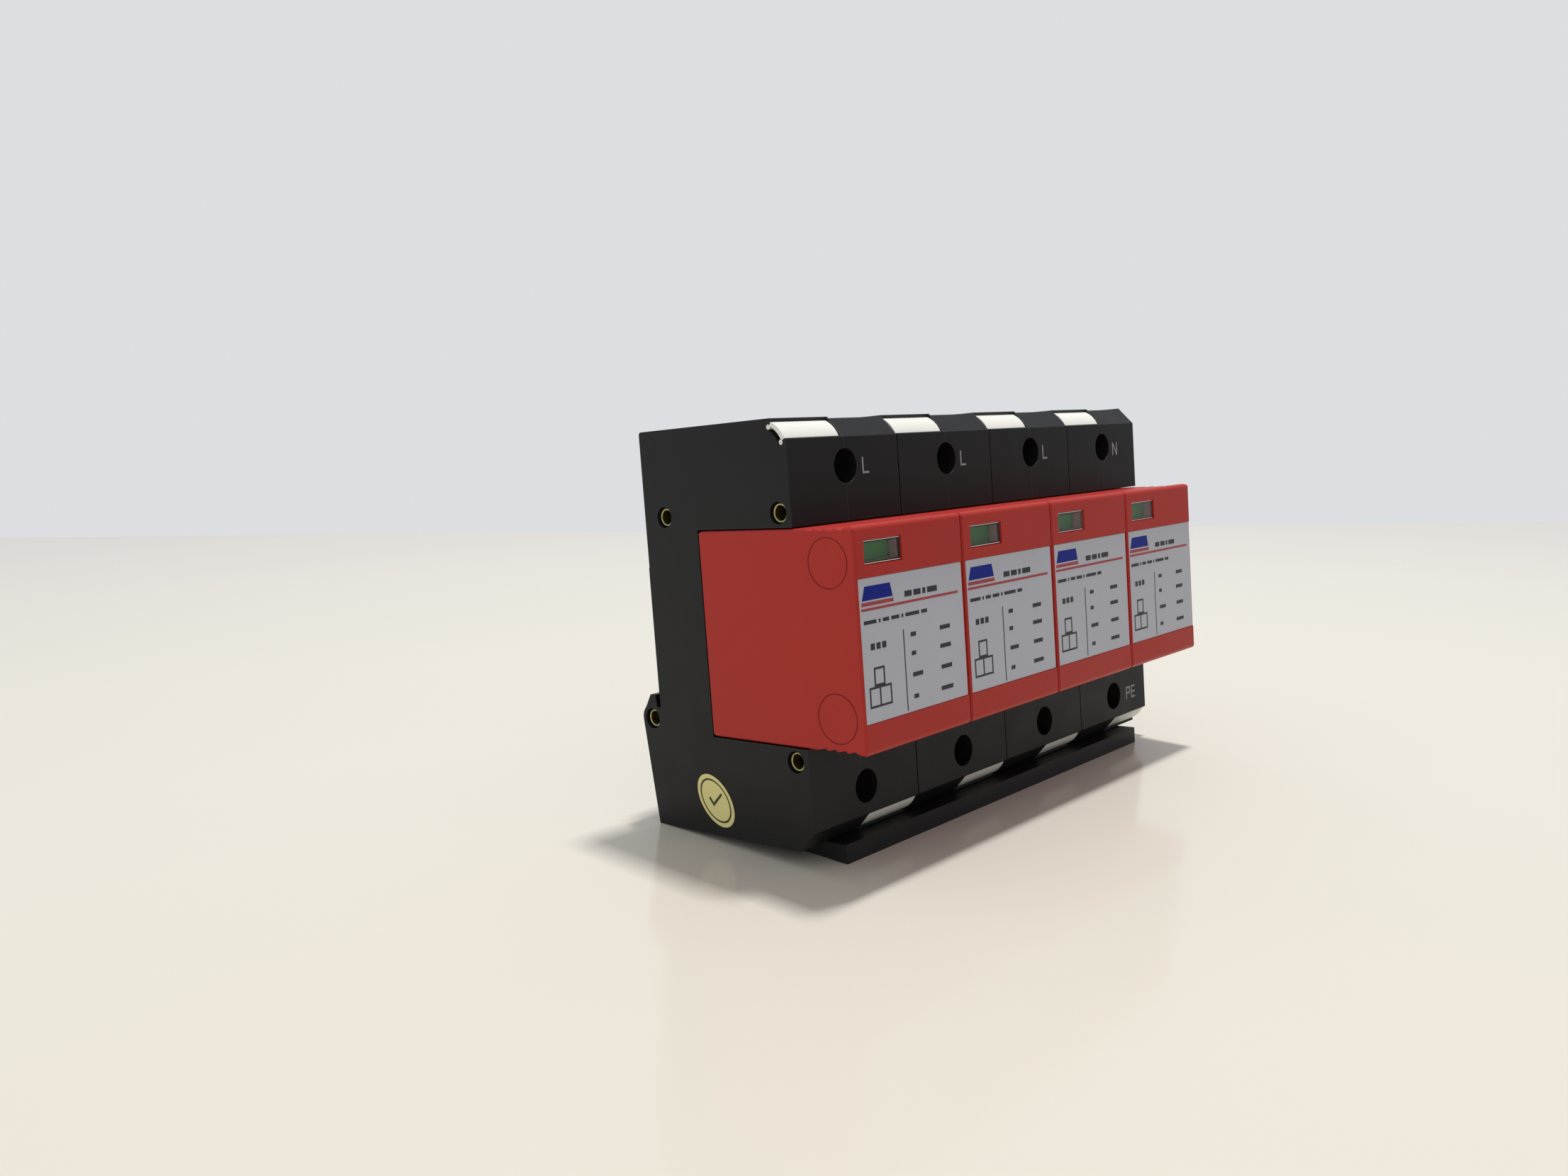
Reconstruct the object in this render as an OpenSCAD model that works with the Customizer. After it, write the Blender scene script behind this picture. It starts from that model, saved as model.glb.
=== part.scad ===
// Pluggable surge arrester for a 35 mm mounting rail: four poles side by side, each a riveted
// base of two half shells that holds a pull-out protection cartridge, with a common earth comb.
// The origin is the middle of the rail seat: X runs along the rail, -Y is the front, +Z is up.

/* [Row of poles] */
// Distance from one pole to the next
pole_pitch = 36; // [35:0.5:40]
// Gap between neighbouring poles
pole_gap = 0.4; // [0.3:0.05:0.8]

/* [Base shells] */
// Height of the base, from end to end
base_h = 90; // [88:0.5:96]
// Depth of the terminal arms, from the rail seat to their front faces
arm_depth = 45; // [44:0.5:48]
// Depth of the spine behind the cartridge
spine_depth = 17; // [16.5:0.5:19]
// Thickness of the moulded walls
shell_wall = 2; // [1.6:0.1:2.2]
// Height of the chamfer at the front end corners
chamfer_h = 4.5; // [4:0.1:5]
// Depth of the chamfer at the front end corners
chamfer_d = 4.2; // [4:0.1:5]
// Radius of the rear top corner
rear_corner_r = 0.7; // [0.4:0.1:1.5]
// Relief of the rear face above and below the seat that bears on the rail
seat_relief = 0.15; // [0.1:0.05:0.3]
// Sink of the end face beside each marker tag
blank_sink = 0.35; // [0.2:0.05:0.5]
// Length of that sunk field behind the chamfer
blank_len = 10; // [8:0.5:12]
// Width of the slope from the sunk field up to the pole's side
blank_ramp = 4.5; // [3:0.5:6]

/* [Rivets] */
// Bore of the hollow rivets
rivet_bore_d = 3.1; // [2.4:0.1:3.2]
// Wall of the hollow rivets
rivet_wall = 0.3; // [0.3:0.05:0.5]
// Flange diameter of the rivets
rivet_flange_d = 4.2; // [4.2:0.1:5]
// Thickness of the rivet flange
rivet_flange_t = 0.5; // [0.4:0.1:0.8]
// Depth of the rivet flange below the side face
rivet_sink = 0.7; // [0.2:0.1:0.8]
// Distance of the front rivets behind the arm's front face
rivet_front_in = 3.6; // [2.8:0.1:4]
// Height of the front and rear rivets above the cartridge bay
rivet_bay_off = 3; // [2.8:0.1:4]
// Depth of the rear rivet
rivet_rear_d = 6.6; // [6.6:0.1:8]

/* [Rail hook and latch] */
// Height of the rail
rail_h = 35; // [34:0.5:36]
// Thickness of the rail's flange
rail_t = 1; // [0.8:0.1:1.5]
// Depth of the notch that takes the rail's lower edge
notch_depth = 2.8; // [2:0.1:3.4]
// Reach of the foot behind the rail seat at the lower end
foot_reach = 3.3; // [2.5:0.1:4]
// Radius of the fixed hook's rounded back
hook_r = 3.3; // [3:0.1:3.6]
// Distance of the hook's rivet behind the rail's flange
hook_rivet_in = 1.9; // [1.8:0.1:2.2]
// Widening of the notch towards its mouth
notch_flare = 0.5; // [0.3:0.1:0.7]
// Thickness of the hook's lip at its top
hook_lip_t = 1.6; // [1.2:0.1:1.8]
// Width of the sliding latch
latch_w = 11.6; // [9:0.2:13]
// Width of each guide flange of the latch
latch_flange_w = 1.8; // [1.2:0.1:2.4]
// Thickness of the guide flange of the latch
latch_flange_t = 1; // [0.8:0.1:1.2]
// Thickness of the channel lips that hold the latch in
latch_lip_t = 1.2; // [1:0.1:1.5]
// Grip of the latch nose behind the rail's upper edge
latch_grip = 2.4; // [1.5:0.1:2.8]
// Thickness of the latch nose at its tip
latch_tip_t = 0.8; // [0.6:0.1:1.2]
// Height of the latch nose above the rail's upper edge
latch_nose_h = 4.5; // [3.5:0.1:5]
// Material of the latch above its spring window, and between the window and the nose
latch_bridge = 1.9; // [1.6:0.1:2.4]
// Height of the slot that a screwdriver pulls the latch by
pull_slot_h = 0.9; // [0.7:0.1:1]
// Height of the fixed lug that the latch spring bears on
lug_h = 1.8; // [1.4:0.1:2.2]
// Half width of the fixed lug
lug_half = 2.2; // [1.8:0.1:2.6]
// Reach of the latch behind the rail seat
latch_reach = 5; // [4:0.1:6]
// Release travel of the latch, which lifts its end flush with the base
latch_travel = 3.2; // [3:0.1:4]
// Free length between the latch and the lug that its spring bears on
spring_len = 10; // [8:0.5:11]
// Wire diameter of the latch spring
spring_wire_d = 0.35; // [0.3:0.05:0.4]
// Running clearance of the sliding pieces
slide_clear = 0.2; // [0.15:0.05:0.3]

/* [Terminals] */
// Distance of the terminal screws from the ends of the base
screw_from_end = 10.6; // [10:0.1:11.2]
// Diameter of the screw access holes
access_d = 7.4; // [7:0.1:8]
// Clearance of the screw head in its access hole, all round
head_clear = 0.3; // [0.2:0.05:0.4]
// Depth of the screw head below the front face
head_sink = 6.4; // [5:0.1:7]
// Height of the screw head
head_h = 3; // [2.4:0.1:3.2]
// Width of the slots across the screw head
head_slot_w = 1.1; // [0.8:0.1:1.4]
// Diameter of the screw's shank
shank_d = 5; // [4:0.1:5.4]
// Radial clearance of the shank in the clamp cage
thread_clear = 0.08; // [0.05:0.01:0.1]
// Thickness of the shoulder that the screw head bears on
shoulder_t = 1.4; // [1:0.1:1.6]
// Inner width of the clamp cage
cage_w = 9; // [8.6:0.1:10]
// Height of the clamp cage
cage_h = 9; // [8:0.1:10]
// Wall of the clamp cage
cage_wall = 1.5; // [1.2:0.1:1.8]
// Thickness of the cage's threaded front wall
cage_nut_t = 2.2; // [1.8:0.1:2.4]
// Opening of the clamp for the wire
wire_gap = 6; // [5.5:0.1:6.4]
// Space that stays between the clamp's jaw and the bar when it is shut
jaw_rest = 0.4; // [0.3:0.1:0.8]
// Thickness of the contact bars
bar_t = 1.5; // [1.2:0.1:1.8]
// Width of the contact bars
bar_w = 8; // [7:0.1:8.2]
// Play of the wire funnels round the clamp's opening
funnel_clear = 0.3; // [0.2:0.1:0.5]
// Widening of the wire funnels at the outer face
funnel_flare = 1.2; // [0.6:0.1:1.6]
// Reach of the contact bars past the clamps
bar_over = 1.5; // [1:0.1:2]

/* [Plug contacts] */
// Thickness of the cartridge blades
blade_t = 2; // [1.5:0.1:2.4]
// Height of the cartridge blades
blade_h = 9; // [7:0.5:9.5]
// Distance of the blades above and below the rail's middle
blade_z = 10; // [9:0.5:10.5]
// Reach of the blades behind the cartridge
blade_reach = 11.8; // [9:0.1:12]
// Play of a blade between the spring leaves, on each side
blade_clear = 0.1; // [0.05:0.05:0.2]
// Border of the contact strip round the blade's slot
slot_border = 1; // [0.8:0.1:1.4]
// Thickness of the contact's spring leaves
leaf_t = 1.2; // [0.8:0.1:1.4]
// Length of the contact's spring leaves
leaf_len = 8.5; // [7:0.5:9]

/* [Earth comb] */
// Length that the comb runs past the outer fingers' middles
comb_over = 9; // [8:0.5:12]
// Height of the insulating channel
comb_h = 4.2; // [4:0.1:5]
// Reach of the channel in front of the arms
comb_front = 1; // [0.5:0.1:2]
// Wall of the channel
comb_wall = 1.2; // [1:0.1:1.3]
// Width of the copper strip
comb_strip_w = 15.2; // [12:0.2:16]
// Width of the copper fingers
finger_w = 6; // [5:0.2:8]
// Height of the fingers inside the terminals
finger_h = 14; // [12:0.5:14.5]

/* [Marker tags] */
// Radius of the tag's outer curve
tag_r = 7; // [6.8:0.1:7.4]
// Thickness of the tag
tag_t = 0.9; // [0.7:0.1:1]
// Bulge of the tag past the chamfer
tag_bulge = 0.05; // [0:0.05:0.3]
// Radius of the snap beads along the tag's edges
tag_bead_r = 0.55; // [0.5:0.05:0.6]
// Play of the tag in its seat
tag_clear = 0.1; // [0.05:0.05:0.15]
// Width of the housing that stays beside the tag at the seam
tag_end_wall = 0.8; // [0.7:0.1:2]

/* [Cartridge case] */
// Height of the cartridge
cart_h = 45; // [43:0.5:46]
// Depth of the cartridge's front face
cart_front = 60.8; // [58:0.1:64]
// Play of the cartridge in its bay
bay_clear = 0.3; // [0.25:0.05:0.5]
// Wall of the case
case_wall = 1.8; // [1.5:0.1:2]
// Thickness of the front plate
front_t = 2.3; // [2.2:0.1:2.6]
// Height of the grip lip above the case
lip_h = 0.3; // [0.2:0.05:0.5]
// Radius of the front face's upper and lower edges and of its corners
front_r = 1.1; // [0.6:0.1:1.4]
// Radius of the front face's upright edges
edge_r = 0.5; // [0.3:0.1:1]
// Radius of the rear edges
rear_r = 0.9; // [0.5:0.1:1.2]
// Pitch of the finger grip's teeth
tooth_pitch = 2.65; // [2.4:0.05:2.8]
// Depth of the finger grip's teeth
tooth_depth = 0.6; // [0.3:0.05:0.8]
// Diameter of the moulded rings on the sides
ring_d = 10.4; // [8:0.1:11]
// Distance of the rings from the cartridge's upper and lower ends
ring_end = 6.9; // [6.3:0.1:8]
// Distance of the rings behind the front face
ring_in = 7; // [6:0.1:8]
// Width and depth of the ring grooves
ring_groove = 0.25; // [0.15:0.05:0.4]
// Distance of the label recess from the cartridge's lower end
label_low = 5.9; // [4.5:0.1:8]
// Distance of the label recess from the cartridge's upper end
label_high = 10.1; // [9.5:0.1:12]
// Depth of the label recess
label_sink = 0.35; // [0.2:0.05:0.5]
// Rim beside the label recess, at the left
label_rim = 0.6; // [0.6:0.1:2]
// Thickness of the rear plate
plate_t = 2; // [1.5:0.1:2.2]

/* [Status window] */
// Distance of the window from the cartridge's left side
win_in = 3; // [2.8:0.1:4]
// Width of the window
win_w = 12; // [10:0.1:13]
// Height of the window
win_h = 5; // [4:0.1:5.2]
// Distance of the window from the cartridge's upper end
win_top = 2.7; // [2.6:0.1:2.9]
// Flange that holds the window behind the front plate
win_flange = 0.6; // [0.4:0.1:0.7]
// Thickness of the window's flange
win_flange_t = 1; // [0.8:0.1:1.2]
// Sink of the window's face
win_sink = 0.3; // [0.1:0.1:0.6]
// Thickness of the window's face
win_face_t = 0.8; // [0.6:0.1:1]
// Wall round the window's hollow back
win_wall = 0.6; // [0.5:0.1:0.8]
// Width of the status flag
flag_w = 11.2; // [10:0.1:11.8]
// Thickness of the status flag
flag_t = 1.1; // [0.8:0.1:1.3]
// Travel of the status flag
flag_travel = 13; // [12:0.5:13.5]
// Thickness of the flag's arm, and half its height
flag_arm_t = 1.2; // [1:0.1:1.4]
// Length of the flag's arm towards the thermal release
flag_arm_len = 6; // [5:0.5:7]
// Thickness of the rails that guide the flag, and their reach past its travel
flag_rail = 1; // [0.8:0.1:1.1]

/* [Varistor] */
// Thickness of the varistor block
mov_t = 12; // [8:0.5:12]
// Height of the varistor block
mov_h = 30; // [24:0.5:30.5]
// Depth of the varistor block
mov_d = 30; // [24:0.5:31]
// Thickness of the electrode plates
electrode_t = 0.5; // [0.4:0.1:0.6]
// Inset of the electrode plates from the varistor's edges
electrode_in = 1.5; // [1:0.1:2]
// Length of the plug blades that lies against the electrodes
blade_tab = 4; // [3:0.5:6]
// Thickness of the thermal release's spring strip
strip_t = 0.6; // [0.4:0.1:0.7]
// Width of the strip's end behind the flag's arm
strip_end_w = 3; // [2:0.5:4]

/* [Hidden] */
$fn = 48;
eps = 0.01;
pole_count = 4;

// Derived sizes of the base
half_w = (pole_pitch - pole_gap) / 2;
base_top = base_h / 2;
bay_half = cart_h / 2 + bay_clear;
inner_chamfer = chamfer_h + shell_wall;
hook_play = 0.1;
hook_shoulder = 50;
hook_root = -rail_h / 2 - hook_play;
notch_top = -rail_h / 2 + notch_depth;
seat_half = -notch_top - slide_clear;

// Rivet places in the side view, as [y, z]
hook_rivet = [rail_t + hook_rivet_in, -rail_h / 2 - notch_depth];
rivet_at = [
  [-rivet_rear_d, bay_half + rivet_bay_off],
  [-(arm_depth - rivet_front_in), bay_half + rivet_bay_off],
  [-(arm_depth - rivet_front_in), -bay_half - rivet_bay_off],
  hook_rivet];
rivet_d = rivet_bore_d + 2 * rivet_wall;
rivet_play = 0.1;
rivet_boss_d = rivet_d + 2 * shell_wall;

// Terminal depths behind the front face, from the screw head back to the clamp's jaw
screw_z = base_top - screw_from_end;
head_d = access_d - 2 * head_clear;
head_back = arm_depth - head_sink - head_h;
shoulder_front = head_back - slide_clear;
shoulder_back = shoulder_front - shoulder_t;
clamp_travel = wire_gap - jaw_rest;
nut_back = shoulder_back - slide_clear - clamp_travel - cage_nut_t;
bar_front = nut_back - slide_clear;
bar_back = bar_front - bar_t;
jaw_front = bar_back - wire_gap;
// The first three lower clamps hold a finger of the comb, the last one waits for the earth wire
comb_grip = wire_gap - 2 * slide_clear - bar_t;
comb_held = [true, true, true, false];

// Contact sizes in the spine
spine_inner = spine_depth - shell_wall;
blade_tip = spine_depth + bay_clear - blade_reach;
slot_half = blade_t / 2 + 2 * blade_clear;

// Latch sizes
latch_z0 = rail_h / 2 + slide_clear;
latch_z1 = base_top - latch_travel;
latch_face = latch_lip_t + slide_clear;
latch_front = latch_face + latch_flange_t;
channel_d = latch_front + slide_clear;
spring_r = (latch_front - 3 * slide_clear - spring_wire_d) / 2;
spring_y = -(channel_d + slide_clear) / 2;
window_z1 = latch_z1 - latch_bridge;
lug_z = window_z1 - slide_clear - lug_h;
spring_z0 = lug_z - spring_len;

// Cartridge sizes
cart_rear = spine_depth + bay_clear;
fine_r = 0.1;
case_in_w = half_w - case_wall;
case_in_h = cart_h / 2 - case_wall;
front_in = cart_front - front_t;
plate_front = cart_rear + plate_t;
ring_z = cart_h / 2 - ring_end;
label_z0 = -cart_h / 2 + label_low;
label_z1 = cart_h / 2 - label_high;
win_x0 = -half_w + win_in;
win_z1 = cart_h / 2 - win_top;
win_z0 = win_z1 - win_h;
flag_z0 = win_z0 - win_flange;
flag_z1 = case_in_h - slide_clear;
flag_front = front_in - win_flange_t - slide_clear;
flag_back = flag_front - flag_t;
rail_back = flag_back - slide_clear;
flag_arm_z = (flag_z0 + flag_z1) / 2;

// Comb sizes
comb_z0 = -base_top - comb_h;
comb_play = 0.15;
strip_z1 = -base_top - comb_wall - comb_play;
finger_back = bar_back - slide_clear - bar_t;

function pole_x(k) = (k - (pole_count + 1) / 2) * pole_pitch;
function arc(c, r, a0, a1, n = 10) =
  [for (i = [0:n]) let (a = a0 + (a1 - a0) * i / n) c + r * [cos(a), sin(a)]];

// Extrudes a side view, drawn as [y, z], from x0 to x1
module side_slab(x0, x1) {
  translate([x0, 0, 0]) rotate([90, 0, 90]) linear_extrude(x1 - x0) children();
}

// Extrudes a front view, drawn as [x, z], from depth d0 to depth d1
module front_slab(d0, d1) {
  translate([0, -d0, 0]) rotate([90, 0, 0]) linear_extrude(d1 - d0) children();
}

// A block between two depths, two widths and two heights
module block(x0, x1, d0, d1, z0, z1) {
  translate([x0, -d1, z0]) cube([x1 - x0, d1 - d0, z1 - z0]);
}

// A cylinder along the depth, centred on [x, z]
module depth_rod(x, z, d0, d1, d) {
  translate([x, -d0, z]) rotate([90, 0, 0]) cylinder(h = d1 - d0, d = d);
}

// A cylinder along the rail, centred on the side view's point
module cross_rod(p, x0, x1, d) {
  translate([x0, p[0], p[1]]) rotate([0, 90, 0]) cylinder(h = x1 - x0, d = d);
}

// A rectangle with a radius at each pair of corners, low x first
module round_rect(x0, x1, y0, y1, r0, r1) {
  corners = [[x0 + r0, y0 + r0, r0], [x0 + r0, y1 - r0, r0],
    [x1 - r1, y0 + r1, r1], [x1 - r1, y1 - r1, r1]];
  for (c = corners) translate([c[0], c[1]]) circle(r = c[2]);
  translate([x0 + r0, y0]) square([x1 - x0 - r0 - r1, y1 - y0]);
  translate([x0, y0 + r0]) square([r0 + eps, y1 - y0 - 2 * r0]);
  translate([x1 - r1 - eps, y0 + r1]) square([r1 + eps, y1 - y0 - 2 * r1]);
}

// Side view of the base: two terminal arms on a spine, with the fixed hook at the lower rear
module base_outline() {
  foot = [foot_reach, -base_top];
  from_hook = foot - hook_rivet;
  tangent = atan2(from_hook[1], from_hook[0]) + acos(hook_r / norm(from_hook));
  lip = rail_t + notch_flare;
  polygon(concat(
    arc([-seat_relief - rear_corner_r, base_top - rear_corner_r], rear_corner_r, 0, 90),
    [[-(arm_depth - chamfer_d), base_top], [-arm_depth, base_top - chamfer_h],
     [-arm_depth, bay_half], [-spine_depth, bay_half], [-spine_depth, -bay_half], [-arm_depth, -bay_half],
     [-arm_depth, -base_top + chamfer_h], [-(arm_depth - chamfer_d), -base_top], foot],
    arc(hook_rivet, hook_r, tangent, hook_shoulder),
    [[lip + hook_lip_t, notch_top], [lip, notch_top],
     [rail_t + hook_play, hook_root], [-seat_relief, hook_root],
     [-seat_relief, -seat_half], [0, -seat_half], [0, seat_half], [-seat_relief, seat_half]]));
}

// Side view of the hollow inside the base
module base_hollow() {
  w = shell_wall;
  ceiling = base_top - w;
  front = arm_depth - w;
  arm_floor = bay_half + w;
  pocket_top = hook_rivet[1] - hook_r - 2 * w;
  polygon([[-w, ceiling], [-(front - inner_chamfer), ceiling], [-front, ceiling - inner_chamfer],
    [-front, arm_floor], [-spine_inner, arm_floor], [-spine_inner, -arm_floor], [-front, -arm_floor],
    [-front, -ceiling + inner_chamfer], [-(front - inner_chamfer), -ceiling],
    [foot_reach - w, -ceiling], [hook_rivet[0] - w / 2, pocket_top], [-w, pocket_top + 2 * w]]);
}

// Side view of a marker tag: a curved strip with a bead along each edge, around the tag's own centre
tag_span = 21.2;
bead_span = 23.5;
tag_seat_more = 0.6;
tag_mid = [-(arm_depth - chamfer_d / 2), base_top - chamfer_h / 2];
tag_centre = tag_mid - (tag_r - tag_bulge) * [-1, 1] / sqrt(2);
tag_bead_at = tag_r - tag_t - tag_bead_r / 2;

module tag_wedge(span, r) {
  polygon(concat([[0, 0]], [for (a = [-span, 0, span]) 2 * r * [cos(135 + a), sin(135 + a)]]));
}

module tag_beads(r) {
  for (s = [-1, 1]) rotate(135 + s * bead_span) translate([tag_bead_at, 0]) circle(r = r);
}

module tag_section() {
  translate(tag_centre) {
    intersection() {
      difference() { circle(r = tag_r); circle(r = tag_r - tag_t); }
      tag_wedge(tag_span, tag_r);
    }
    tag_beads(tag_bead_r);
  }
}

// The tag's seat: the hollow under the strip and a keyhole groove for each bead
module tag_seat_section() {
  translate(tag_centre) {
    difference() {
      tag_wedge(tag_span + tag_seat_more, tag_r);
      circle(r = tag_r - 2 * tag_t);
    }
    tag_beads(tag_bead_r + tag_clear);
  }
}

// What stands inside a pole's base: rivet bosses, screw tubes, clamp guides and the latch channel's floor
module base_inside() {
  for (p = rivet_at) cross_rod(p, -half_w, half_w, rivet_boss_d);
  for (s = [-1, 1]) {
    depth_rod(0, s * screw_z, shoulder_back, arm_depth - eps, access_d + 2 * shell_wall);
    block(-half_w, -cage_w / 2 - cage_wall - slide_clear, jaw_front - cage_wall, shoulder_back,
      s * screw_z - cage_h / 6, s * screw_z + cage_h / 6);
  }
  block(-latch_w / 2 - latch_flange_w - slide_clear - shell_wall, half_w, 0, channel_d + shell_wall,
    latch_z0 - 2 * slide_clear - shell_wall, base_top - eps);
}

// The T-shaped channel that the rail latch slides in, less the lug that its spring bears on
module latch_channel() {
  stem = latch_w / 2 + slide_clear;
  flange = stem + latch_flange_w;
  z0 = latch_z0 - 2 * slide_clear;
  difference() {
    union() {
      block(-stem, stem, -1, channel_d, z0, base_top + 1);
      block(-flange, flange, latch_lip_t, channel_d, z0, base_top + 1);
    }
    block(-lug_half, lug_half, 2 * slide_clear, channel_d + 1, lug_z, lug_z + lug_h);
  }
}

// A wire funnel at the upper end, wider at the outer face
module wire_funnel() {
  half = cage_w / 2 + funnel_clear;
  rear = jaw_front - funnel_clear;
  f = funnel_flare;
  hull() {
    block(-half, half, rear, bar_back, base_top - shell_wall - eps, base_top - shell_wall);
    block(-half - f, half + f, rear - f, bar_back + f, base_top, base_top + eps);
  }
}

// The sunk field of the upper end face, on the half that has no marker tag there
module blank_field() {
  rear = arm_depth - chamfer_d - blank_len;
  low = base_top - blank_sink;
  front_slab(rear, arm_depth + 1) polygon([[1, low], [-half_w + blank_ramp, low],
    [-half_w, base_top], [-half_w, base_top + 1], [1, base_top + 1]]);
}

// The left half shell of one pole's base; its marker tag sits at the upper or at the lower end
module half_shell(tag_up) {
  tag_x1 = -tag_end_wall + slide_clear;
  difference() {
    intersection() {
      side_slab(-half_w, 0) base_outline();
      union() {
        difference() {
          side_slab(-half_w, 0) base_outline();
          side_slab(-half_w + shell_wall, 1) base_hollow();
        }
        base_inside();
      }
    }
    for (s = [-1, 1]) {
      depth_rod(0, s * screw_z, shoulder_front, arm_depth + 1, access_d);
      depth_rod(0, s * screw_z, shoulder_back - 1, arm_depth, shank_d + 2 * slide_clear);
      block(-slot_half, slot_half, spine_inner - 1, spine_depth + 1,
        s * blade_z - blade_h / 2 - slide_clear, s * blade_z + blade_h / 2 + slide_clear);
    }
    wire_funnel();
    mirror([0, 0, 1]) wire_funnel();
    for (p = rivet_at) {
      cross_rod(p, -half_w - 1, 1, rivet_d + rivet_play);
      cross_rod(p, -half_w - 1, -half_w + rivet_sink + rivet_flange_t, rivet_flange_d + 5 * rivet_play);
    }
    latch_channel();
    mirror([0, 0, tag_up ? 0 : 1]) side_slab(-half_w - 1, tag_x1) tag_seat_section();
    mirror([0, 0, tag_up ? 1 : 0]) blank_field();
  }
}

module base_shell_left(k) {
  color("#2f2f31") translate([pole_x(k), 0, 0]) half_shell(true);
}

module base_shell_right(k) {
  color("#2f2f31") translate([pole_x(k), 0, 0]) mirror([1, 0, 0]) half_shell(false);
}

// Terminal screw with a cross-slotted head, seated on the shoulder of its access hole
module terminal_screw(k, s) {
  tip = bar_front + slide_clear / 2;
  color("#b9bcc0") translate([pole_x(k), 0, 0]) difference() {
    union() {
      depth_rod(0, s * screw_z, head_back, head_back + head_h, head_d);
      depth_rod(0, s * screw_z, tip, head_back + eps, shank_d);
    }
    for (a = [0, 90]) translate([0, -head_back - head_h, s * screw_z]) rotate([0, a, 0])
      cube([head_d - 2 * head_slot_w, head_h, head_slot_w], center = true);
  }
}

// Clamp cage: a steel frame round the contact bar, drawn forwards along its screw
module clamp_cage(k, s) {
  shift = s < 0 && comb_held[k - 1] ? comb_grip : 0;
  outer = cage_w / 2 + cage_wall;
  back = jaw_front - cage_wall + shift;
  front = nut_back + cage_nut_t + shift;
  z0 = s * screw_z - cage_h / 2;
  z1 = s * screw_z + cage_h / 2;
  color("#c9c3ae") translate([pole_x(k), 0, 0]) difference() {
    block(-outer, outer, back, front, z0, z1);
    block(-cage_w / 2, cage_w / 2, back + cage_wall, front - cage_nut_t, z0 - 1, z1 + 1);
    depth_rod(0, s * screw_z, back + cage_wall + eps, front + 1, shank_d + 2 * thread_clear);
  }
}

// Plug contact: a bar from the clamp down the spine, with two spring leaves that grip a blade
module plug_contact() {
  floor_z = bay_half + shell_wall;
  hw = bar_w / 2;
  leaf_x = blade_t / 2 + blade_clear;
  difference() {
    union() {
      block(-hw, hw, bar_back, bar_front, floor_z, screw_z + cage_h / 2 + bar_over);
      block(-hw, hw, spine_inner - bar_t, bar_front, floor_z, floor_z + bar_t);
      block(-hw, hw, spine_inner - bar_t, spine_inner, blade_z - blade_h / 2 - slot_border, floor_z + bar_t);
    }
    block(-leaf_x, leaf_x, 0, spine_depth,
      blade_z - blade_h / 2 - slide_clear, blade_z + blade_h / 2 + slide_clear);
  }
  for (m = [0, 1]) mirror([m, 0, 0])
    block(leaf_x, leaf_x + leaf_t, spine_inner - bar_t - leaf_len, spine_inner - bar_t + eps,
      blade_z - blade_h / 2, blade_z + blade_h / 2);
}

module plug_contacts() {
  color("#c58a54") for (k = [1:pole_count], m = [0, 1])
    translate([pole_x(k), 0, 0]) mirror([0, 0, m]) plug_contact();
}

// Rail latch: a T-shaped slider with a ramped nose that snaps behind the rail's upper edge
module rail_latch(k) {
  nose_y = rail_t + slide_clear;
  hw = latch_w / 2;
  slot_z = latch_z1 - latch_bridge / 2;
  color("#3a3a3c") translate([pole_x(k), 0, 0]) difference() {
    union() {
      side_slab(-hw, hw) polygon([[-latch_front, latch_z0], [nose_y, latch_z0],
        [nose_y, rail_h / 2 - latch_grip], [nose_y + latch_tip_t, rail_h / 2 - latch_grip],
        [latch_reach, rail_h / 2 + latch_tip_t], [latch_reach, rail_h / 2 + latch_nose_h],
        [-slide_clear, spring_z0 - latch_bridge], [-slide_clear, latch_z1], [-latch_front, latch_z1]]);
      block(-hw - latch_flange_w, hw + latch_flange_w, latch_face, latch_front, latch_z0, latch_z1);
    }
    block(-lug_half - slide_clear, lug_half + slide_clear, -1, latch_front + 1, spring_z0, window_z1);
    block(-hw / 2, hw / 2, -1, latch_lip_t, slot_z - pull_slot_h / 2, slot_z + pull_slot_h / 2);
  }
}

// Coil spring between the latch and the lug in its channel
spring_turns = 6;
spring_steps = 10;
spring_sides = 6;
spring_play = 0.05;
function spring_ring(i) =
  let (a = 360 * i / spring_steps, wr = spring_wire_d / 2, low = wr + spring_play,
    z = low + (spring_len - 2 * low) * i / (spring_turns * spring_steps))
  [for (j = [0:spring_sides - 1]) let (b = 360 * j / spring_sides, r = spring_r + wr * cos(b))
    [r * cos(a), r * sin(a), z + wr * sin(b)]];

module latch_spring() {
  n = spring_turns * spring_steps;
  m = spring_sides;
  points = [for (i = [0:n]) each spring_ring(i)];
  walls = [for (i = [0:n - 1], j = [0:m - 1], half = [0, 1])
    let (a = i * m + j, b = i * m + (j + 1) % m) half == 0 ? [a, b, b + m] : [a, b + m, a + m]];
  ends = [[for (j = [m - 1:-1:0]) j], [for (j = [0:m - 1]) n * m + j]];
  polyhedron(points, concat(walls, ends));
}

module latch_springs() {
  color("#c8cacc") for (k = [1:pole_count]) translate([pole_x(k), spring_y, spring_z0]) latch_spring();
}

// Hollow rivet through both half shells, rolled over at each end
module rivet(p) {
  end = half_w - rivet_sink;
  difference() {
    union() {
      cross_rod(p, -end, end, rivet_d);
      for (s = [-1, 1]) cross_rod(p, s * (end - rivet_flange_t / 2) - rivet_flange_t / 2,
        s * (end - rivet_flange_t / 2) + rivet_flange_t / 2, rivet_flange_d);
    }
    cross_rod(p, -end - 1, end + 1, rivet_bore_d);
  }
}

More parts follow.
